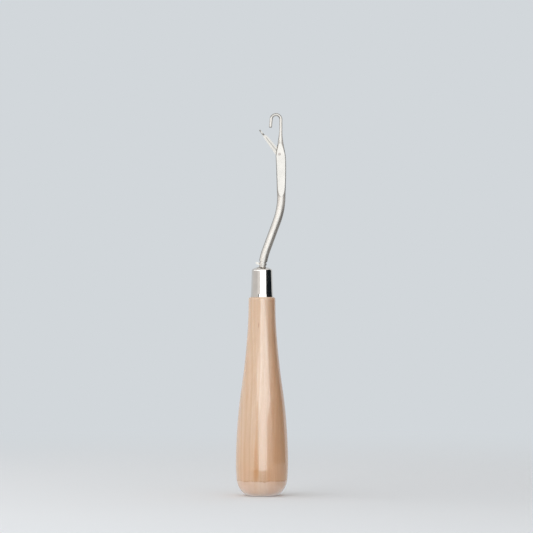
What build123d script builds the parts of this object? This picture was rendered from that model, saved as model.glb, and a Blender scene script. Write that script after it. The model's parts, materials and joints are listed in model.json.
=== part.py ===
from build123d import *
import os
from math import acos, asin, cos, degrees, radians, sin, tan

# Latch hook tool, standing on the butt of its handle: the origin is the middle of the butt, +Z runs
# up the handle to the hook and +X points to the side that the shank is bent to. Millimetres, degrees.

# Handle: the turned wood
handle_length = 83.4
belly_diameter = 22.04
belly_height = 13.9
butt_flat_diameter = 10.0
butt_edge_height = 6.6
shoulder_step = 0.84
shoulder_rounding = 1.0
spigot_gap = 0.5
spigot_rounding = 0.6

# Handle: the faint edge round the butt, as a share of the belly, how full the rounding below it is,
# and how far the wood leans inwards just below and just above that edge
butt_edge_share = 0.971
butt_fullness_shares = (0.40, 0.67)
butt_lean = 9.0
belly_lean = 4.0

# Handle: the flank, as shares of its rise from belly to shoulder and of its step from one to the other
flank_shares = (
    (0.135, 0.950),
    (0.256, 0.851),
    (0.377, 0.691),
    (0.498, 0.469),
    (0.619, 0.281),
    (0.740, 0.134),
    (0.860, 0.034),
)

# Ferrule: the drawn metal cap
ferrule_length = 12.8
ferrule_wall = 0.4
ferrule_waist_diameter = 9.3
ferrule_top_diameter = 8.6
ferrule_dome = 1.3
ferrule_top_rounding = 1.0
ferrule_flare = 0.12
ferrule_flare_height = 1.2

# Shank: the wire, its tang and its two bends
wire_diameter = 3.5
neck_diameter = 2.8
tang_depth = 34.0
spade_width = 3.8
spade_thickness = 2.0
spade_length = 8.0
spade_rounding = 0.4
shank_offset = 8.1
bend_radius = 30.0
bend_angle = 20.3
bend_sunk = 3.3

# Shank: its foot, where rises are from the top of the ferrule to the ear, the collar and the full wire
ear_rise = 0.56
collar_rise = 1.03
wire_rise = 2.06
collar_diameter = 3.4
collar_height = 0.7
ear_reach = 3.1
ear_height = 0.95
ear_thickness = 1.2
ear_tilt = 20.0

# Shank: the flattened blade, and how far its left and right edges stand from the shank's axis, as
# shares of its width: at its widest, which is set from the hook's foot, and at even steps below and above
blade_length = 28.0
blade_width = 4.37
blade_thickness = 2.4
blade_widest_drop = 10.6
press_radius = 20.0
widest_rounding = 14.0
widest_edge_shares = (0.565, 0.435)
lower_edge_shares = ((0.449, 0.446), (0.492, 0.468))
upper_edge_shares = ((0.426, 0.261), (0.286, 0.135))

# Shank: the hook
hook_wire_diameter = 1.26
hook_leg_inset = 0.18
hook_leg_length = 4.4
hook_radius = 2.04
hook_turn = 175.1
hook_tip_length = 3.7
hook_tip_rounding_share = 0.7

# Latch pivot: the rivet and the sawn slot, set from the shank's axis and down from the hook's foot, so
# that the latch keeps reaching the hook's tip
rivet_inset = 0.77
rivet_drop = 10.2
rivet_diameter = 0.8
rivet_head_diameter = 1.2
rivet_sink_angle = 82.0
rivet_dome = 0.05
saw_diameter = 18.0
saw_drop = 0.9

# Latch
latch_lean = 38.9
latch_length = 13.2
latch_thickness = 0.8
eye_diameter = 2.9
stem_length = 9.9
stem_root_front = 1.05
stem_end_depth = 1.45
stem_end_rounding = 0.35
groove_depth = 0.1
groove_width = 0.35
groove_start = 2.2
groove_end = 8.9
spoon_length = 3.0
spoon_width = 2.4
spoon_thickness = 0.5
spoon_hollow_radius = 4.5
spoon_tilt = 3.0
spoon_neck_depth = 1.1

# Fits
wood_clearance = 0.02
metal_clearance = 0.03
slot_clearance = 0.05
slot_floor_clearance = 0.1
ferrule_hole_clearance = 0.12
rivet_clearance = 0.01
overrun = 1.0

# Heights and places that follow
belly_radius = belly_diameter / 2
butt_flat_radius = butt_flat_diameter / 2
butt_edge_radius = butt_edge_share * belly_radius
eye_radius = eye_diameter / 2
wire_radius = wire_diameter / 2
neck_radius = neck_diameter / 2
hook_wire_radius = hook_wire_diameter / 2
ferrule_top = handle_length + ferrule_length
bend_start = ferrule_top - bend_sunk
tang_bottom = handle_length - tang_depth
slant = radians(bend_angle)
slant_length = (shank_offset - 2 * bend_radius * (1 - cos(slant))) / sin(slant)
blade_foot = bend_start + 2 * bend_radius * sin(slant) + slant_length * cos(slant)
hook_leg_x = shank_offset - hook_leg_inset
hook_foot = blade_foot + blade_length
rivet_x = shank_offset - rivet_inset
rivet_z = hook_foot - rivet_drop


def ferrule_radius(height):
    """Outer radius of the ferrule's straight taper at a height above its rim."""
    tapered_height = ferrule_length - ferrule_dome - ferrule_flare_height
    taper = (ferrule_top_diameter - ferrule_waist_diameter) / 2 / tapered_height
    return ferrule_waist_diameter / 2 + taper * (height - ferrule_flare_height)


def bend_turn(rise):
    """Angle that the lower bend has turned by at a rise above the top of the ferrule."""
    return degrees(asin((bend_sunk + rise) / bend_radius))


def bend_plane(rise):
    """Plane square across the wire in the lower bend, at a rise above the top of the ferrule."""
    turn = radians(bend_turn(rise))
    across = bend_radius * (1 - cos(turn))
    return Plane(origin=(across, 0, ferrule_top + rise), z_dir=(sin(turn), 0, cos(turn)))


def blade_station(drop, left_share, right_share):
    """Height, middle and radius of the round section across the blade's edges, at a drop below the hook."""
    middle = shank_offset + (right_share - left_share) * blade_width / 2
    return hook_foot - drop, middle, (left_share + right_share) * blade_width / 2


# Handle: turned outline, bore for the tang and the pocket that its spade bites
spigot_length = ferrule_length - bend_sunk - spigot_gap
spigot_foot_radius = ferrule_radius(0) - ferrule_wall - wood_clearance
spigot_top_radius = ferrule_radius(spigot_length) - ferrule_wall - wood_clearance
shoulder_radius = ferrule_radius(0) + ferrule_flare + shoulder_step
flank_drop = belly_radius - shoulder_radius
flank_rise = handle_length - belly_height
with BuildPart() as handle:
    with BuildSketch(Plane.XZ) as handle_outline:
        with BuildLine():
            butt = Line((0, 0), (butt_flat_radius, 0))
            rounding = Bezier(
                butt @ 1,
                (butt_flat_radius + butt_fullness_shares[0] * (butt_edge_radius - butt_flat_radius), 0),
                (
                    butt_edge_radius - tan(radians(butt_lean)) * butt_fullness_shares[1] * butt_edge_height,
                    (1 - butt_fullness_shares[1]) * butt_edge_height,
                ),
                (butt_edge_radius, butt_edge_height),
            )
            belly = Spline(
                rounding @ 1,
                (belly_radius, belly_height),
                tangents=((tan(radians(belly_lean)), 1), (0, 1)),
            )
            flank = Spline(
                belly @ 1,
                *[
                    (shoulder_radius + across * flank_drop, belly_height + up * flank_rise)
                    for up, across in flank_shares
                ],
                (shoulder_radius, handle_length),
                tangents=((0, 1), (0, 1)),
            )
            spigot = Line(
                (spigot_foot_radius, handle_length),
                (spigot_top_radius, handle_length + spigot_length),
            )
            Line(flank @ 1, spigot @ 0)
            Polyline(spigot @ 1, (0, (spigot @ 1).Y), (0, 0))
        make_face()
        shoulder_corner = handle_outline.vertices().sort_by_distance(flank @ 1)[0]
        fillet(shoulder_corner, radius=shoulder_rounding)
        spigot_corner = handle_outline.vertices().sort_by_distance(spigot @ 1)[0]
        fillet(spigot_corner, radius=spigot_rounding)
    revolve(axis=Axis.Z)
    with BuildSketch(Plane.XY.offset(tang_bottom - wood_clearance)):
        Circle(neck_radius + wood_clearance)
    extrude(amount=tang_depth + spigot_length + overrun, mode=Mode.SUBTRACT)
    with BuildSketch(Plane.XY.offset(tang_bottom - wood_clearance)):
        RectangleRounded(
            spade_width + 2 * wood_clearance,
            spade_thickness + 2 * wood_clearance,
            spade_rounding + wood_clearance,
        )
    extrude(amount=spade_length + 2 * wood_clearance, mode=Mode.SUBTRACT)
handle.part.label = "handle"

# Ferrule: a tapered cap with a flared rim and a domed top, pierced for the neck
with BuildPart() as ferrule:
    with BuildSketch(Plane.XZ):
        with BuildLine() as ferrule_outside:
            side = Polyline(
                (ferrule_radius(0) + 2 * ferrule_flare, handle_length - ferrule_flare_height),
                (ferrule_waist_diameter / 2, handle_length + ferrule_flare_height),
                (ferrule_top_diameter / 2, ferrule_top - ferrule_dome),
            )
            TangentArc((0, ferrule_top), side @ 1, tangent=(1, 0))
            fillet(ferrule_outside.vertices().sort_by_distance(side @ 1)[0], radius=ferrule_top_rounding)
            offset(amount=ferrule_wall, side=Side.LEFT)
        make_face()
    revolve(axis=Axis.Z)
    split(bisect_by=Plane.XY.offset(handle_length), keep=Keep.TOP)
    with Locations((bend_plane(0).origin.X, 0, ferrule_top)):
        Hole(neck_radius + ferrule_hole_clearance, depth=ferrule_wall + overrun)
ferrule.part.label = "ferrule"

# Stop ear: the tongue that the pinch squeezes out to the left of the foot
with BuildPart() as stop_ear:
    ear_slope = (cos(radians(ear_tilt)), 0, -sin(radians(ear_tilt)))
    with BuildSketch(Plane(origin=bend_plane(ear_rise).origin, x_dir=ear_slope, z_dir=(0, -1, 0))):
        with Locations((-ear_reach / 2, 0)):
            SlotOverall(ear_reach, ear_height)
    extrude(amount=ear_thickness / 2, both=True)

# Shank: tang and neck, bent wire, blade and hook in one piece
with BuildLine(Plane.XZ) as neck_route:
    tang_line = Line((0, tang_bottom), (0, bend_start))
    neck_bend = JernArc(tang_line @ 1, tang_line % 1, bend_radius, -bend_turn(wire_rise))

with BuildLine(Plane.XZ) as wire_route:
    lower_bend = JernArc(neck_bend @ 1, neck_bend % 1, bend_radius, bend_turn(wire_rise) - bend_angle)
    slanted = Line(lower_bend @ 1, (lower_bend @ 1) + (lower_bend % 1) * slant_length)
    JernArc(slanted @ 1, slanted % 1, bend_radius, bend_angle)

widest_station = blade_station(blade_widest_drop, *widest_edge_shares)
widest_height = hook_foot - blade_widest_drop
lower_step = (blade_length - blade_widest_drop) / (len(lower_edge_shares) + 1)
upper_step = blade_widest_drop / (len(upper_edge_shares) + 1)
lower_stations = [(blade_foot, shank_offset, wire_radius)]
for step, shares in enumerate(lower_edge_shares, start=1):
    lower_stations.append(blade_station(blade_length - step * lower_step, *shares))
lower_stations.append(widest_station)
upper_stations = [widest_station]
for step, shares in enumerate(upper_edge_shares, start=1):
    upper_stations.append(blade_station(blade_widest_drop - step * upper_step, *shares))
upper_stations.append((hook_foot, hook_leg_x, hook_wire_radius))

with BuildLine(Plane.XZ) as hook_route:
    leg = Line((hook_leg_x, hook_foot), (hook_leg_x, hook_foot + hook_leg_length))
    crown = JernArc(leg @ 1, leg % 1, hook_radius, hook_turn)
    Line(crown @ 1, (crown @ 1) + (crown % 1) * hook_tip_length)

with BuildPart() as shank:
    with BuildSketch(Plane.XY.offset(tang_bottom)):
        Circle(neck_radius)
    sweep(path=neck_route.line)
    with BuildSketch(Plane.XY.offset(tang_bottom)):
        RectangleRounded(spade_width, spade_thickness, spade_rounding)
    extrude(amount=spade_length)
    with BuildSketch(Plane(origin=wire_route.line @ 0, z_dir=wire_route.line % 0)):
        Circle(wire_radius)
    sweep(path=wire_route.line)
    with Locations(bend_plane(collar_rise)):
        Cylinder(collar_diameter / 2, collar_height)
    add(stop_ear.part)

    # The blade is a tapered bar through round sections, pressed flat front and back
    for stations in (lower_stations, upper_stations):
        for height, middle, radius in stations:
            with BuildSketch(Plane((middle, 0, height))):
                Circle(radius)
        loft()
    press_depth = wire_radius - blade_thickness / 2
    press_rise = press_radius * sin(acos(1 - press_depth / press_radius))
    run_out_turn = degrees(acos(1 - (press_depth + overrun) / press_radius))
    for side in (-1, 1):
        with BuildSketch(Plane.YZ.offset(shank_offset)):
            with BuildLine():
                face_foot = (side * blade_thickness / 2, blade_foot + press_rise)
                outer = side * (blade_width / 2 + overrun)
                run_out = JernArc(face_foot, (0, -1), press_radius, side * run_out_turn)
                Polyline(
                    run_out @ 1,
                    (outer, (run_out @ 1).Y),
                    (outer, hook_foot),
                    (side * blade_thickness / 2, hook_foot),
                    face_foot,
                )
            make_face()
        extrude(amount=blade_width, both=True, mode=Mode.SUBTRACT)
    widest_seams = shank.edges().filter_by_position(Axis.Z, widest_height, widest_height)
    fillet(widest_seams, radius=widest_rounding)

    # Slot sawn into the left edge, and the countersunk hole for the rivet
    slot_floor = rivet_x + eye_radius + slot_floor_clearance
    slot_width = latch_thickness + 2 * slot_clearance
    with Locations((slot_floor - saw_diameter / 2, 0, rivet_z - saw_drop)):
        Cylinder(saw_diameter / 2, slot_width, rotation=(90, 0, 0), mode=Mode.SUBTRACT)
    for side in (-1, 1):
        cheek = Plane(origin=(rivet_x, side * blade_thickness / 2, rivet_z), z_dir=(0, side, 0))
        with Locations(cheek):
            CounterSinkHole(
                rivet_diameter / 2 + rivet_clearance,
                rivet_head_diameter / 2 + rivet_clearance,
                depth=blade_thickness / 2,
                counter_sink_angle=rivet_sink_angle,
            )

    # Hook, with its blunt rounded tip
    with BuildSketch(Plane((hook_leg_x, 0, hook_foot))):
        Circle(hook_wire_radius)
    sweep(path=hook_route.line)
    tip_edge = shank.edges().filter_by(GeomType.CIRCLE).sort_by_distance(hook_route.line @ 1)[0]
    fillet(tip_edge, radius=hook_tip_rounding_share * hook_wire_radius)
shank.part.label = "shank"

# Rivet: a plain pin whose ends are peened into the countersinks
sink_depth = (rivet_head_diameter - rivet_diameter) / 2 / tan(radians(rivet_sink_angle / 2))
with BuildPart() as rivet:
    with BuildSketch(Plane((rivet_x, 0, rivet_z))):
        with BuildLine():
            dome_top = (0, blade_thickness / 2 + rivet_dome)
            head_rim = (rivet_head_diameter / 2, blade_thickness / 2)
            dome = TangentArc(dome_top, head_rim, tangent=(1, 0))
            Polyline(
                dome @ 1,
                (rivet_diameter / 2, blade_thickness / 2 - sink_depth),
                (rivet_diameter / 2, 0),
                (0, 0),
                dome @ 0,
            )
        make_face()
        mirror(about=Plane.XZ)
    revolve(axis=Axis((rivet_x, 0, rivet_z), (0, 1, 0)))
rivet.part.label = "rivet"

# Latch: eye and grooved stem in the plane of the hook, with a dished spoon across its end
lean = radians(latch_lean)
latch_plane = Plane(origin=(rivet_x, 0, rivet_z), x_dir=(-sin(lean), 0, cos(lean)), z_dir=(0, -1, 0))
spoon_middle = latch_length - spoon_length / 2
spoon_lean = radians(latch_lean + spoon_tilt)
spoon_plane = Plane(
    origin=latch_plane.from_local_coords((spoon_middle, 0, 0)),
    x_dir=(-sin(spoon_lean), 0, cos(spoon_lean)),
    z_dir=(cos(spoon_lean), 0, sin(spoon_lean)),
)
with BuildPart() as spoon:
    with BuildSketch(spoon_plane):
        Ellipse(spoon_length / 2, spoon_width / 2)
    extrude(amount=spoon_hollow_radius / 2, both=True)
    with Locations(spoon_plane.offset(spoon_hollow_radius)):
        Sphere(spoon_hollow_radius + spoon_thickness, mode=Mode.INTERSECT)
        Sphere(spoon_hollow_radius, mode=Mode.SUBTRACT)

with BuildPart() as latch:
    with BuildSketch(latch_plane) as stem_outline:
        with BuildLine():
            Polyline(
                (0, -stem_root_front),
                (stem_length, -stem_end_depth / 2),
                (stem_length, stem_end_depth / 2),
                (0, eye_radius),
                close=True,
            )
        make_face()
        fillet(stem_outline.vertices().group_by(Axis.X)[-1], radius=stem_end_rounding)
        Circle(eye_radius)
        Circle(rivet_diameter / 2 + metal_clearance, mode=Mode.SUBTRACT)
    extrude(amount=latch_thickness / 2, both=True)
    stem_faces = [latch_plane.offset(side * latch_thickness / 2) for side in (-1, 1)]
    with BuildSketch(*stem_faces):
        with Locations(((groove_start + groove_end) / 2, 0)):
            SlotOverall(groove_end - groove_start, groove_width)
    extrude(amount=groove_depth, both=True, mode=Mode.SUBTRACT)
    with BuildSketch(latch_plane):
        with BuildLine():
            Polyline(
                (stem_length - stem_end_depth, -spoon_neck_depth / 2),
                (spoon_middle, 0),
                (spoon_middle, spoon_thickness),
                (stem_length - stem_end_depth, spoon_neck_depth / 2),
                close=True,
            )
        make_face()
    extrude(amount=latch_thickness / 2, both=True)
    add(spoon.part)
latch.part.label = "latch"

os.makedirs("parts", exist_ok=True)
for piece in (handle, ferrule, shank, rivet, latch):
    export_step(piece.part, f"parts/{piece.part.label}.step")
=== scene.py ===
import json
from math import atan, cos, pi, radians, sin, tan

import bpy
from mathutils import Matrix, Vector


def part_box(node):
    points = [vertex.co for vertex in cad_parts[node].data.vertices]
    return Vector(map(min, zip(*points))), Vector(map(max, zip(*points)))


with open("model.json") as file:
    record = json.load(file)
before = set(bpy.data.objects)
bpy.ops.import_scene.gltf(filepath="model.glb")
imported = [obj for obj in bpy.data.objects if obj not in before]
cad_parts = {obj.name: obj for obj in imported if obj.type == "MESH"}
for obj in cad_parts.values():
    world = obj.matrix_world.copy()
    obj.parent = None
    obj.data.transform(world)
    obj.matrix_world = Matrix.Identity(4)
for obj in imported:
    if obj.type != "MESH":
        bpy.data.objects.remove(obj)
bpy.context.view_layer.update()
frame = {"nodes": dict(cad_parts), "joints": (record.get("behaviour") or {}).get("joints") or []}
nodes = frame["nodes"]

# Camera, in metres unless the name says millimetres
PICTURE_HEIGHT = 0.2239
PICTURE_MIDDLE = (0.00189, 0.09618)
LENS_MM = 200.0
SENSOR_MM = 36.0
CLIP_START = 0.01
CLIP_END = 20

# Places on the tool, in millimetres and degrees; the ferrule stands on the top of the handle
MM_PER_METRE = 1000
HANDLE_TOP = MM_PER_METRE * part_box("ferrule")[0].z
BUTT_EDGE = 6.6
FLECK_PLACE = (-1.4, -5.2, 71.6)
FLECK_STRETCH = (3.2, 0.5, 0.55)
LATCH_PIVOT = tuple(MM_PER_METRE * c for c in frame["joints"][0]["pos_m"])
LATCH_LEAN = 38.9
GROOVE_START = 2.2
GROOVE_END = 8.9
GROOVE_END_FADE = 0.15
GROOVE_SIDES = (0.14, 0.24)

# Key panel: a soft box close in front, whose outline shows as the highlight on the lacquer
KEY_DISTANCE = 0.40
KEY_TOP = 0.500
KEY_FOOT = -0.048
KEY_OUTLINE = (
    (-0.140, KEY_TOP),
    (0.400, KEY_TOP),
    (0.400, 0.145),
    (0.170, 0.077),
    (0.150, KEY_FOOT),
    (-0.085, KEY_FOOT),
    (-0.085, 0.077),
    (-0.140, 0.145),
)
KEY_STRENGTH = 2.5
KEY_TINT = (0.92, 0.97, 1.0)

# Upright cards round the tool, in metres; a nearer card covers what is behind it
CARD_DISTANCE = 0.55
NEARER = 0.01
SHANK_CARD_NEARER = 0.03
CARD_STEPS = 24
CARD_FOOT = -0.06
CARD_SPLIT = 0.222
FILL_TOP = 0.50
FILL_STRENGTH = 1.72
REST_FILL_STRENGTH = 0.75
HIGH_TINT = (0.95, 0.98, 1.0)
CARD_BLACK = (0.010, 0.014, 0.018)
FILM_AZIMUTH = 52
FILM_HEIGHTS = (-0.180, -0.062)
FILM_STEPS = 36
FILM_TONE = (0.015, 0.02, 0.025)

# Level panels, floor and world
TOP_HALF = 0.5
TOP_HEIGHT = 0.75
TOP_STRENGTH = 0.9
UNDER_HALF = 0.6
UNDER_HEIGHT = -0.35
UNDER_STRENGTH = 0.95
FLOOR_RADIUS = 0.9
FLOOR_STEPS = 64
FLOOR_PAINT = (0.80, 0.82, 0.84)
WORLD_STRENGTH = 0.35
WHITE = (1.0, 1.0, 1.0)


def linear(red, green, blue):
    """Linear colour of an 8-bit display colour."""
    shares = (red / 255, green / 255, blue / 255)
    return tuple(c / 12.92 if c <= 0.04045 else ((c + 0.055) / 1.055) ** 2.4 for c in shares)


# Pale grey, because the pale metal would vanish on white
BACKDROP = linear(210, 215, 219)

# Colours of the wood, and of the painted shade, highlight and sheen on it
PALE_WOOD = linear(226, 198, 171)
TAN_WOOD = linear(213, 176, 142)
# Painted shade: the darker, more orange colour given to the right side (+X)
SHADED_SIDE_WOOD = linear(203, 148, 106)
LOW_WOOD = linear(212, 160, 112)
# Painted highlight: paler, less orange colour down the front, where the key panel's highlight lies
PAINTED_HIGHLIGHT_TONE = linear(236, 216, 196)
RING_LINE = linear(176, 126, 86)
ORANGE_STRIP = linear(204, 146, 90)
FIBRE_TONE = linear(168, 122, 86)
STREAK_TONE = linear(200, 150, 108)
PORE_TONE = linear(140, 96, 66)
RAY_TONE = linear(236, 212, 186)
FLECK_TONE = linear(150, 84, 58)
# Painted sheen: the paler, pinker colour below the turned edge stands in for the butt's reflection from
# below
PAINTED_BUTT_SHEEN = linear(228, 203, 188)
# Painted shade: a thin darker line along the turned edge above the butt
PAINTED_CREASE_SHADE = linear(178, 120, 72)

# Grain of the wood, in cycles per millimetre along X, Y and Z
WANDER_GRAIN = (0.05, 0.05, 0.012)
RIPPLE_GRAIN = (0.35, 0.35, 0.03)
FIBRE_GRAIN = (3.4, 3.4, 0.05)
STREAK_GRAIN = (0.9, 0.9, 0.012)
PORE_GRAIN = (9.0, 9.0, 0.55)
RAY_GRAIN = (0.45, 5.0, 1.6)
PEEL_GRAIN = (0.22, 0.22, 0.10)

# Growth rings, in millimetres, and the scales of their one-dimensional patterns, with the reach of the
# painted shade on the right side, the place of the painted highlight and of the orange strip, and the wave
# and fade of the painted sheen and shade at the turned edge
RING_BOW = 1 / 120
WANDER_REACH = 5.0
RIPPLE_REACH = 0.8
UNEVEN_REACH = 7.0
BAND_SCALE = 0.55
SPACING_SCALE = 0.23
LINE_SCALE = 0.15
SHADED_SIDE_REACH = 22
PAINTED_HIGHLIGHT_PLACE = 1.6
PAINTED_HIGHLIGHT_HALF_WIDTH = 4.0
ORANGE_STRIP_PLACE = 1.2
ORANGE_STRIP_SHIFT = 0.1
ORANGE_STRIP_HALF_WIDTH = 1.8
SEAM_WAVE = 1.2
BUTT_SHEEN_FADE = 4

# Depths of the fine relief, in metres
GRAIN_RELIEF = 0.0001
PEEL_RELIEF = 0.0002
DRAWN_RELIEF = 0.00005

# Metal: grain in cycles per millimetre, and node, slot, colour, roughness, depth of lines, smudge
DRAWN_GRAIN = (9.0, 9.0, 0.12)
SMUDGE_GRAIN = (0.35, 0.35, 0.25)
METALS = (
    ("ferrule", "nickel_plate", (0.78, 0.73, 0.68), 0.07, 0.10, 0.05),
    ("shank", "polished_steel", (0.437, 0.407, 0.374), 0.28, 0.05, 0.08),
    ("rivet", "rivet_steel", (0.37, 0.325, 0.30), 0.38, 0.08, 0.08),
    ("latch", "latch_steel", (0.43, 0.40, 0.365), 0.36, 0.05, 0.08),
)
SMUDGE_TONE = 0.93
# Painted shade in the latch's pressed groove, as a share of the metal's colour
GROOVE_SHADE_TONE = 0.65


# Node helpers; where one takes a value, it also takes the output of another node
def material(name):
    made = bpy.data.materials.new(name)
    made.use_nodes = True
    made.node_tree.nodes.clear()
    return made, made.node_tree


def feed(tree, socket, value):
    """Links the socket to another node's output, or gives it a value."""
    if isinstance(value, bpy.types.NodeSocket):
        tree.links.new(value, socket)
    else:
        socket.default_value = value


def node(tree, kind, settings=None, **inputs):
    """Adds a shader node. An input is named as its socket, with _ for a space, or i and its number."""
    made = tree.nodes.new(kind)
    for key, value in (settings or {}).items():
        setattr(made, key, value)
    for key, value in inputs.items():
        numbered = key[0] == "i" and key[1:].isdigit()
        socket = made.inputs[int(key[1:]) if numbered else key.replace("_", " ")]
        feed(tree, socket, value)
    return made


def output(tree, shader):
    node(tree, "ShaderNodeOutputMaterial", i0=shader.outputs[0])


def math_node(tree, operation, first, second=0.0, third=0.0, clamp=False):
    made = tree.nodes.new("ShaderNodeMath")
    made.operation = operation
    made.use_clamp = clamp
    for socket, value in zip(made.inputs, (first, second, third)):
        feed(tree, socket, value)
    return made.outputs[0]


def product(tree, first, second):
    return math_node(tree, "MULTIPLY", first, second)


def away_from(tree, value, middle):
    """How far a value is from a middle value, on either side."""
    return math_node(tree, "ABSOLUTE", math_node(tree, "SUBTRACT", value, middle))


def shifted(tree, base, pattern, reach):
    """Moves a value to and fro by a noise pattern, whose middle is a half."""
    return math_node(tree, "MULTIPLY_ADD", math_node(tree, "SUBTRACT", pattern, 0.5), reach, base)


def ramp(tree, factor, stops, interpolation="LINEAR"):
    """Turns a factor into a strength. Each stop is a place on the factor and the strength there."""
    made = tree.nodes.new("ShaderNodeValToRGB")
    tree.links.new(factor, made.inputs[0])
    colours = made.color_ramp
    colours.interpolation = interpolation
    while len(colours.elements) < len(stops):
        colours.elements.new(0.5)
    for element, (place, value) in zip(colours.elements, stops):
        element.position = place
        element.color = (value, value, value, 1)
    return made.outputs[0]


def mix(tree, factor, first, second):
    """Mixes two colours; a factor of one gives the second."""
    made = tree.nodes.new("ShaderNodeMix")
    made.data_type = "RGBA"
    made.clamp_factor = True
    for index, value in ((0, factor), (6, first), (7, second)):
        feed(tree, made.inputs[index], (*value, 1) if isinstance(value, tuple) else value)
    return made.outputs[2]


def stretched(tree, vector, scale):
    return node(tree, "ShaderNodeMapping", Vector=vector, Scale=scale).outputs[0]


def noise(tree, vector, grain, detail, roughness=0.5):
    """Smooth noise; grain gives its cycles per unit of the vector, along each axis."""
    made = node(tree, "ShaderNodeTexNoise", Vector=stretched(tree, vector, grain), Scale=1.0,
                Detail=detail, Roughness=roughness)
    return made.outputs[0]


def place_in_mm(tree):
    return stretched(tree, node(tree, "ShaderNodeTexCoord").outputs["Object"], (MM_PER_METRE,) * 3)


def offset_from(tree, mm, place):
    return node(tree, "ShaderNodeVectorMath", {"operation": "SUBTRACT"}, i0=mm, i1=place).outputs[0]


def length(tree, vector):
    return node(tree, "ShaderNodeVectorMath", {"operation": "LENGTH"}, i0=vector).outputs["Value"]


# Wood of the handle
def growth_rings(tree, mm, parts, ripple):
    """Rings as nearly flat planes across X: their place, their bands, spacing and thin late lines."""
    wander = noise(tree, mm, WANDER_GRAIN, 3.0)
    across, depth = parts.outputs[0], parts.outputs[1]
    bowed = math_node(tree, "MULTIPLY_ADD", product(tree, depth, depth), RING_BOW, across)
    ring = shifted(tree, shifted(tree, bowed, wander, WANDER_REACH), ripple, RIPPLE_REACH)
    flat = {"noise_dimensions": "1D"}
    band = node(tree, "ShaderNodeTexNoise", flat, W=ring, Scale=BAND_SCALE, Detail=3.0, Roughness=0.6)
    spacing = node(tree, "ShaderNodeTexNoise", flat, W=ring, Scale=SPACING_SCALE, Detail=1.0).outputs[0]
    uneven = node(tree, "ShaderNodeCombineXYZ", X=shifted(tree, ring, spacing, UNEVEN_REACH)).outputs[0]
    saw = {"wave_type": "BANDS", "bands_direction": "X", "wave_profile": "SAW"}
    line = node(tree, "ShaderNodeTexWave", saw, Vector=uneven, Scale=LINE_SCALE, Distortion=0.0)
    return ring, band.outputs[0], spacing, line.outputs[1]


def orange_strip_mask(tree, ring, height):
    """One darker orange strip left of the middle, thin along the neck, broad at the belly and fading at the
    butt.
    """
    width = ramp(tree, height, ((0.10, 1.0), (0.45, 0.30)), "EASE")
    place_of_strip = math_node(tree, "MULTIPLY_ADD", width, ORANGE_STRIP_SHIFT, ORANGE_STRIP_PLACE)
    aside = math_node(tree, "ABSOLUTE", math_node(tree, "ADD", ring, place_of_strip))
    share = math_node(tree, "DIVIDE", aside, product(tree, width, ORANGE_STRIP_HALF_WIDTH))
    mask = product(tree, ramp(tree, share, ((0.30, 1.0), (1.0, 0.0)), "EASE"), width)
    return product(tree, mask, ramp(tree, height, ((0.05, 0.25), (0.14, 1.0)), "EASE"))


def ringed_body(tree, height, rings):
    """Colour of the wood before its fine grain: bands, painted shade on the right side, darker and more
    orange lower down, a painted highlight down the front, ring lines and the orange strip.
    """
    ring, band, spacing, line = rings
    body = mix(tree, ramp(tree, band, ((0.30, 0.0), (0.70, 1.0))), PALE_WOOD, TAN_WOOD)
    # Painted shade: the right side (+X) is made darker and more orange
    sideways = math_node(tree, "MULTIPLY_ADD", ring, 1 / SHADED_SIDE_REACH, 0.5)
    side = ramp(tree, sideways, ((0.45, 0.0), (0.75, 1.0)), "EASE")
    body = mix(tree, product(tree, side, 0.6), body, SHADED_SIDE_WOOD)
    body = mix(tree, ramp(tree, height, ((0.10, 0.44), (0.42, 0.0)), "EASE"), body, LOW_WOOD)
    # Painted highlight: a paler band down the front, under the key panel's highlight
    painted_highlight = math_node(tree, "DIVIDE", away_from(tree, ring, PAINTED_HIGHLIGHT_PLACE), PAINTED_HIGHLIGHT_HALF_WIDTH)
    body = mix(tree, ramp(tree, painted_highlight, ((0.35, 0.30), (0.85, 0.0)), "EASE"), body, PAINTED_HIGHLIGHT_TONE)
    line_strength = ramp(tree, spacing, ((0.42, 0.05), (0.60, 0.24)))
    late_line = ramp(tree, line, ((0.72, 0.0), (0.98, 1.0)))
    body = mix(tree, product(tree, late_line, line_strength), body, RING_LINE)
    return mix(tree, product(tree, orange_strip_mask(tree, ring, height), 0.9), body, ORANGE_STRIP)


def painted_sheen_and_crease_shade(tree, body, along_z, ripple, streak):
    """Painted sheen: paler colour below the turned edge; and painted shade: a thin dark line along that
    edge.
    """
    above = shifted(tree, math_node(tree, "ADD", along_z, -BUTT_EDGE), ripple, SEAM_WAVE)
    fade = math_node(tree, "MULTIPLY_ADD", above, 1 / BUTT_SHEEN_FADE, 0.5)
    # Painted sheen: paler colour below the turned edge
    body = mix(tree, ramp(tree, fade, ((0.42, 0.36), (0.54, 0.0)), "EASE"), body, PAINTED_BUTT_SHEEN)
    beside = math_node(tree, "ABSOLUTE", above)
    # Painted shade: a thin dark line along the turned edge, patchy along its length
    crease_shade = ramp(tree, beside, ((0.12, 1.0), (0.42, 0.0)), "EASE")
    patchy = ramp(tree, streak, ((0.40, 0.5), (0.62, 0.1)))
    return mix(tree, product(tree, crease_shade, patchy), body, PAINTED_CREASE_SHADE)


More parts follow.
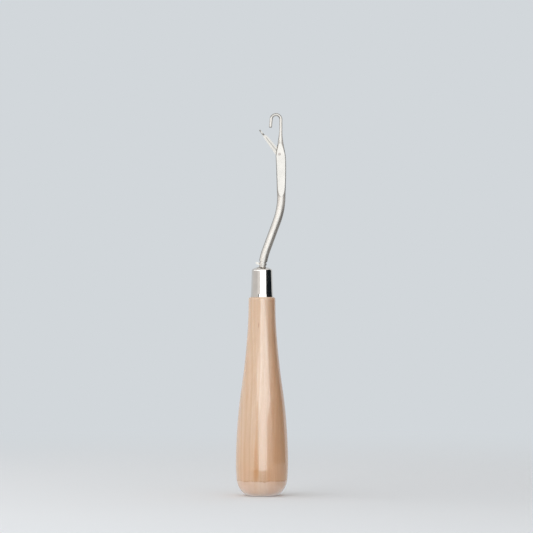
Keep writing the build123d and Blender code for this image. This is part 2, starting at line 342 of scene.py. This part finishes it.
def wood():
    made, tree = material("lacquered_wood")
    mm = place_in_mm(tree)
    parts = node(tree, "ShaderNodeSeparateXYZ", Vector=mm)
    height = math_node(tree, "DIVIDE", parts.outputs[2], HANDLE_TOP)
    ripple = noise(tree, mm, RIPPLE_GRAIN, 2.0)
    body = ringed_body(tree, height, growth_rings(tree, mm, parts, ripple))

    # Fibres, streaks, pores and ray flecks
    fibre = noise(tree, mm, FIBRE_GRAIN, 4.0, 0.6)
    streak = noise(tree, mm, STREAK_GRAIN, 3.0, 0.55)
    pores = noise(tree, mm, PORE_GRAIN, 2.0)
    rays = noise(tree, mm, RAY_GRAIN, 2.0)
    body = mix(tree, ramp(tree, fibre, ((0.30, 0.16), (0.62, 0.0))), body, FIBRE_TONE)
    body = mix(tree, ramp(tree, streak, ((0.42, 0.22), (0.66, 0.0))), body, STREAK_TONE)
    body = mix(tree, ramp(tree, pores, ((0.22, 0.35), (0.34, 0.0))), body, PORE_TONE)
    body = mix(tree, ramp(tree, rays, ((0.60, 0.0), (0.74, 0.16))), body, RAY_TONE)

    # A short reddish fleck under the shoulder
    fleck = length(tree, stretched(tree, offset_from(tree, mm, FLECK_PLACE), FLECK_STRETCH))
    body = mix(tree, ramp(tree, fleck, ((0.3, 0.45), (1.0, 0.0)), "EASE"), body, FLECK_TONE)
    body = painted_sheen_and_crease_shade(tree, body, parts.outputs[2], ripple, streak)

    relief = math_node(tree, "MULTIPLY_ADD", fibre, 0.5, product(tree, pores, 0.5))
    grain_bump = node(tree, "ShaderNodeBump", Strength=0.05, Distance=GRAIN_RELIEF, Height=relief)
    peel = noise(tree, mm, PEEL_GRAIN, 2.0)
    coat_bump = node(tree, "ShaderNodeBump", Strength=0.12, Distance=PEEL_RELIEF, Height=peel)
    rough = ramp(tree, streak, ((0.3, 0.42), (0.7, 0.5)))
    shader = node(
        tree, "ShaderNodeBsdfPrincipled",
        Base_Color=body, Roughness=rough, IOR=1.45, Normal=grain_bump.outputs[0],
        Coat_Weight=1.0, Coat_Roughness=0.07, Coat_IOR=1.8, Coat_Normal=coat_bump.outputs[0],
        Subsurface_Weight=0.12, Subsurface_Radius=(1.0, 0.45, 0.2), Subsurface_Scale=0.002,
    )
    output(tree, shader)
    return made


# Metal of the other pieces
def groove_shade_mask(tree, mm):
    """Where the painted shade of the groove goes: one along the pressed groove of the latch, and fading out
    just beside it.
    """
    offset = offset_from(tree, mm, LATCH_PIVOT)
    lean = radians(LATCH_LEAN)
    dot = {"operation": "DOT_PRODUCT"}
    stem = (-sin(lean), 0.0, cos(lean))
    side = (cos(lean), 0.0, sin(lean))
    along = node(tree, "ShaderNodeVectorMath", dot, i0=offset, i1=stem).outputs["Value"]
    across = node(tree, "ShaderNodeVectorMath", dot, i0=offset, i1=side).outputs["Value"]
    from_middle = away_from(tree, along, (GROOVE_START + GROOVE_END) / 2)
    beyond = math_node(tree, "SUBTRACT", from_middle, (GROOVE_END - GROOVE_START) / 2)
    beside = math_node(tree, "ABSOLUTE", across)
    inside = ramp(tree, beside, ((GROOVE_SIDES[0], 1.0), (GROOVE_SIDES[1], 0.0)), "EASE")
    return product(tree, inside, ramp(tree, beyond, ((0.0, 1.0), (GROOVE_END_FADE, 0.0)), "EASE"))


def metal(slot, colour, roughness, lines, smudge, groove_shaded):
    """Plated metal with fine drawn lines along Z and faint smudges, and painted shade in the groove if it
    has one.
    """
    made, tree = material(slot)
    mm = place_in_mm(tree)
    drawn = noise(tree, mm, DRAWN_GRAIN, 3.0, 0.6)
    cloud = noise(tree, mm, SMUDGE_GRAIN, 3.0, 0.55)
    smudged = tuple(SMUDGE_TONE * c for c in colour)
    tone = mix(tree, ramp(tree, cloud, ((0.35, 0.0), (0.70, 1.0))), colour, smudged)
    # Painted shade along the latch's pressed groove
    if groove_shaded:
        tone = mix(tree, groove_shade_mask(tree, mm), tone, tuple(GROOVE_SHADE_TONE * c for c in colour))
    rough = math_node(tree, "MULTIPLY_ADD", cloud, smudge, roughness - smudge / 2)
    bump = node(tree, "ShaderNodeBump", Strength=lines, Distance=DRAWN_RELIEF, Height=drawn)
    shader = node(tree, "ShaderNodeBsdfPrincipled", Base_Color=tone, Metallic=1.0, Roughness=rough,
                  Normal=bump.outputs[0])
    output(tree, shader)
    return made


def dress(name, look):
    mesh = nodes[name].data
    mesh.materials.clear()
    mesh.materials.append(look)


dress("handle", wood())
for name, slot, colour, roughness, lines, smudge in METALS:
    dress(name, metal(slot, colour, roughness, lines, smudge, groove_shaded=name == "latch"))


# Looks of the studio
def glow(name, strength, colour=WHITE):
    made, tree = material(name)
    output(tree, node(tree, "ShaderNodeEmission", Color=(*colour, 1), Strength=strength))
    return made


def added_glow(name, strength):
    """Clear film that adds light to what is seen through it."""
    made, tree = material(name)
    clear = node(tree, "ShaderNodeBsdfTransparent")
    light = node(tree, "ShaderNodeEmission", Strength=strength)
    output(tree, node(tree, "ShaderNodeAddShader", i0=clear.outputs[0], i1=light.outputs[0]))
    return made


def smoked_film(name, half_azimuth, low, high):
    """Clear film that darkens what is seen through it, and less towards its sides and its foot."""
    made, tree = material(name)
    place = node(tree, "ShaderNodeTexCoord").outputs["Object"]
    parts = node(tree, "ShaderNodeSeparateXYZ", Vector=place)
    ahead = product(tree, parts.outputs[1], -1.0)
    azimuth = math_node(tree, "ABSOLUTE", math_node(tree, "ARCTAN2", parts.outputs[0], ahead))
    aside = math_node(tree, "DIVIDE", azimuth, radians(half_azimuth))
    up = math_node(tree, "DIVIDE", math_node(tree, "SUBTRACT", parts.outputs[2], low), high - low)
    dark = product(tree, ramp(tree, aside, ((0.45, 1.0), (1.0, 0.0)), "EASE"),
                   ramp(tree, up, ((0.0, 0.0), (0.45, 1.0)), "EASE"))
    output(tree, node(tree, "ShaderNodeBsdfTransparent", Color=mix(tree, dark, WHITE, FILM_TONE)))
    return made


# Panels and cards
def plain_mesh(name, corners, faces, look):
    mesh = bpy.data.meshes.new(name)
    mesh.from_pydata(corners, [], faces)
    mesh.materials.append(look)
    made = bpy.data.objects.new(name, mesh)
    bpy.context.scene.collection.objects.link(made)
    return made


def arc_card(name, azimuths, heights, look, nearer=0.0, steps=CARD_STEPS):
    """Upright card bent round the tool. Azimuth is 0 towards the camera and grows to the right."""
    distance = CARD_DISTANCE - nearer
    start, end = azimuths
    corners = []
    for step in range(steps + 1):
        azimuth = radians(start + (end - start) * step / steps)
        corners += [(distance * sin(azimuth), -distance * cos(azimuth), z) for z in heights]
    faces = [(2 * step, 2 * step + 2, 2 * step + 3, 2 * step + 1) for step in range(steps)]
    made = plain_mesh(name, corners, faces, look)
    made.visible_camera = False
    made.visible_diffuse = False
    return made


def fill_card(name, azimuths, look):
    """Soft light that shows in no reflection."""
    made = arc_card(name, azimuths, (0.0, FILL_TOP), look)
    made.visible_glossy = False
    made.visible_diffuse = True


def level_panel(name, half, height, look):
    corners = [(x, y, height) for x, y in ((-half, -half), (half, -half), (half, half), (-half, half))]
    made = plain_mesh(name, corners, [(0, 1, 2, 3)], look)
    made.visible_camera = False
    return made


black = glow("black_card", 1.0, CARD_BLACK)
key_corners = [(x, -KEY_DISTANCE, z) for x, z in KEY_OUTLINE]
key_look = glow("key_glow", KEY_STRENGTH, KEY_TINT)
key_panel = plain_mesh("key_panel", key_corners, [tuple(range(len(KEY_OUTLINE)))], key_look)
key_panel.visible_camera = False
key_panel.visible_diffuse = False

fill_card("fill_card", (-120, 45), glow("fill_glow", FILL_STRENGTH))
fill_card("rest_fill_card", (45, 240), glow("rest_fill_glow", REST_FILL_STRENGTH))

# Cards that only reflections show: on the left bright and grey ones, on the right dark and grey ones
arc_card("gap_card", (-42, -31), (0.190, CARD_SPLIT), black, NEARER)
arc_card("glow_card_a", (-38, -19), (CARD_FOOT, 0.15), glow("glow_a", 0.95))
arc_card("glow_card_b", (-52, -38), (CARD_FOOT, CARD_SPLIT), glow("glow_b", 0.80))
arc_card("glow_card_c", (-110, -52), (CARD_FOOT, CARD_SPLIT), glow("glow_c", 0.67))
arc_card("high_card_a", (-63, -31), (CARD_SPLIT, 0.36), glow("high_a", 2.6, HIGH_TINT))
arc_card("high_card_b", (-110, -63), (CARD_SPLIT, 0.40), glow("high_b", 1.8, HIGH_TINT))
arc_card("high_card_c", (-31, -17), (0.150, 0.36), glow("high_c", 2.5, HIGH_TINT))
arc_card("grey_card_low", (40, 135), (-0.30, -0.02), glow("grey_low_glow", 0.5), NEARER)
arc_card("grey_card_high", (44, 74), (0.133, 0.157), glow("grey_high_glow", 0.45), NEARER)

# Films whose light only the shank gets, because its upright part sees the same cards as the ferrule
for_shank = bpy.data.collections.new("lit_by_shank_cards")
for_shank.objects.link(nodes["shank"])
for name, azimuths, heights, strength in (
    ("shank_card_left", (-75, -17), (0.112, CARD_SPLIT), 1.6),
    ("shank_card_far_left", (-115, -75), (0.112, CARD_SPLIT), 0.8),
    ("shank_card_right", (30, 110), (0.040, 0.200), 0.85),
    ("shank_card_right_high", (40, 115), (0.200, 0.480), 1.00),
):
    card = arc_card(name, azimuths, heights, added_glow(name, strength), SHANK_CARD_NEARER)
    card.light_linking.receiver_collection = for_shank

arc_card("dark_card", (48, 124), (-0.15, 0.60), black)
film = smoked_film("smoked_film", FILM_AZIMUTH, *FILM_HEIGHTS)
arc_card("low_card", (-FILM_AZIMUTH, FILM_AZIMUTH), FILM_HEIGHTS, film, steps=FILM_STEPS)

level_panel("top_panel", TOP_HALF, TOP_HEIGHT, glow("top_glow", TOP_STRENGTH))
under = level_panel("under_panel", UNDER_HALF, UNDER_HEIGHT, glow("under_glow", UNDER_STRENGTH, KEY_TINT))
under.visible_diffuse = False


def seen_directly(tree):
    """One for rays that show the backdrop, and zero for those that only light the tool."""
    path = node(tree, "ShaderNodeLightPath")
    camera_or_glossy = math_node(tree, "ADD", path.outputs["Is Camera Ray"], path.outputs["Is Glossy Ray"],
                                 clamp=True)
    return math_node(tree, "ADD", camera_or_glossy, path.outputs["Is Transmission Ray"], clamp=True)


# Floor: pale near the tool, with its shadow, and fading into the backdrop
def floor_paint():
    made, tree = material("floor")
    away = length(tree, node(tree, "ShaderNodeTexCoord").outputs["Object"])
    fade = ramp(tree, math_node(tree, "DIVIDE", away, FLOOR_RADIUS), ((0.12, 0.0), (0.55, 1.0)), "EASE")
    paint = node(tree, "ShaderNodeBsdfDiffuse", Color=(*FLOOR_PAINT, 1))
    backdrop = node(tree, "ShaderNodeEmission", Color=(*BACKDROP, 1), Strength=seen_directly(tree))
    output(tree, node(tree, "ShaderNodeMixShader", i0=fade, i1=paint.outputs[0], i2=backdrop.outputs[0]))
    return made


angles = [2 * pi * step / FLOOR_STEPS for step in range(FLOOR_STEPS)]
floor_rim = [(FLOOR_RADIUS * cos(angle), FLOOR_RADIUS * sin(angle), 0) for angle in angles]
floor_faces = [(0, 1 + step, 1 + (step + 1) % FLOOR_STEPS) for step in range(FLOOR_STEPS)]
floor = plain_mesh("floor", [(0, 0, 0)] + floor_rim, floor_faces, floor_paint())
floor.visible_glossy = False

# World: the backdrop's grey where it is seen, plain soft light elsewhere
world = bpy.data.worlds.new("studio")
bpy.context.scene.world = world
world.use_nodes = True
world.node_tree.nodes.clear()
tone = mix(world.node_tree, seen_directly(world.node_tree), (WORLD_STRENGTH,) * 3, BACKDROP)
sky = node(world.node_tree, "ShaderNodeBackground", Color=tone, Strength=1.0)
node(world.node_tree, "ShaderNodeOutputWorld", i0=sky.outputs[0])

# Camera: level, in front, and as far away as its lens needs for the height of the picture
camera_data = bpy.data.cameras.new("camera")
camera_data.lens = LENS_MM
camera_data.sensor_width = SENSOR_MM
camera_data.clip_start = CLIP_START
camera_data.clip_end = CLIP_END
camera = bpy.data.objects.new("camera", camera_data)
bpy.context.scene.collection.objects.link(camera)
camera_distance = PICTURE_HEIGHT / 2 / tan(atan(SENSOR_MM / 2 / LENS_MM))
camera.location = (PICTURE_MIDDLE[0], -camera_distance, PICTURE_MIDDLE[1])
camera.rotation_euler = (pi / 2, 0, 0)
bpy.context.scene.camera = camera

bpy.context.scene.view_settings.view_transform = "Standard"
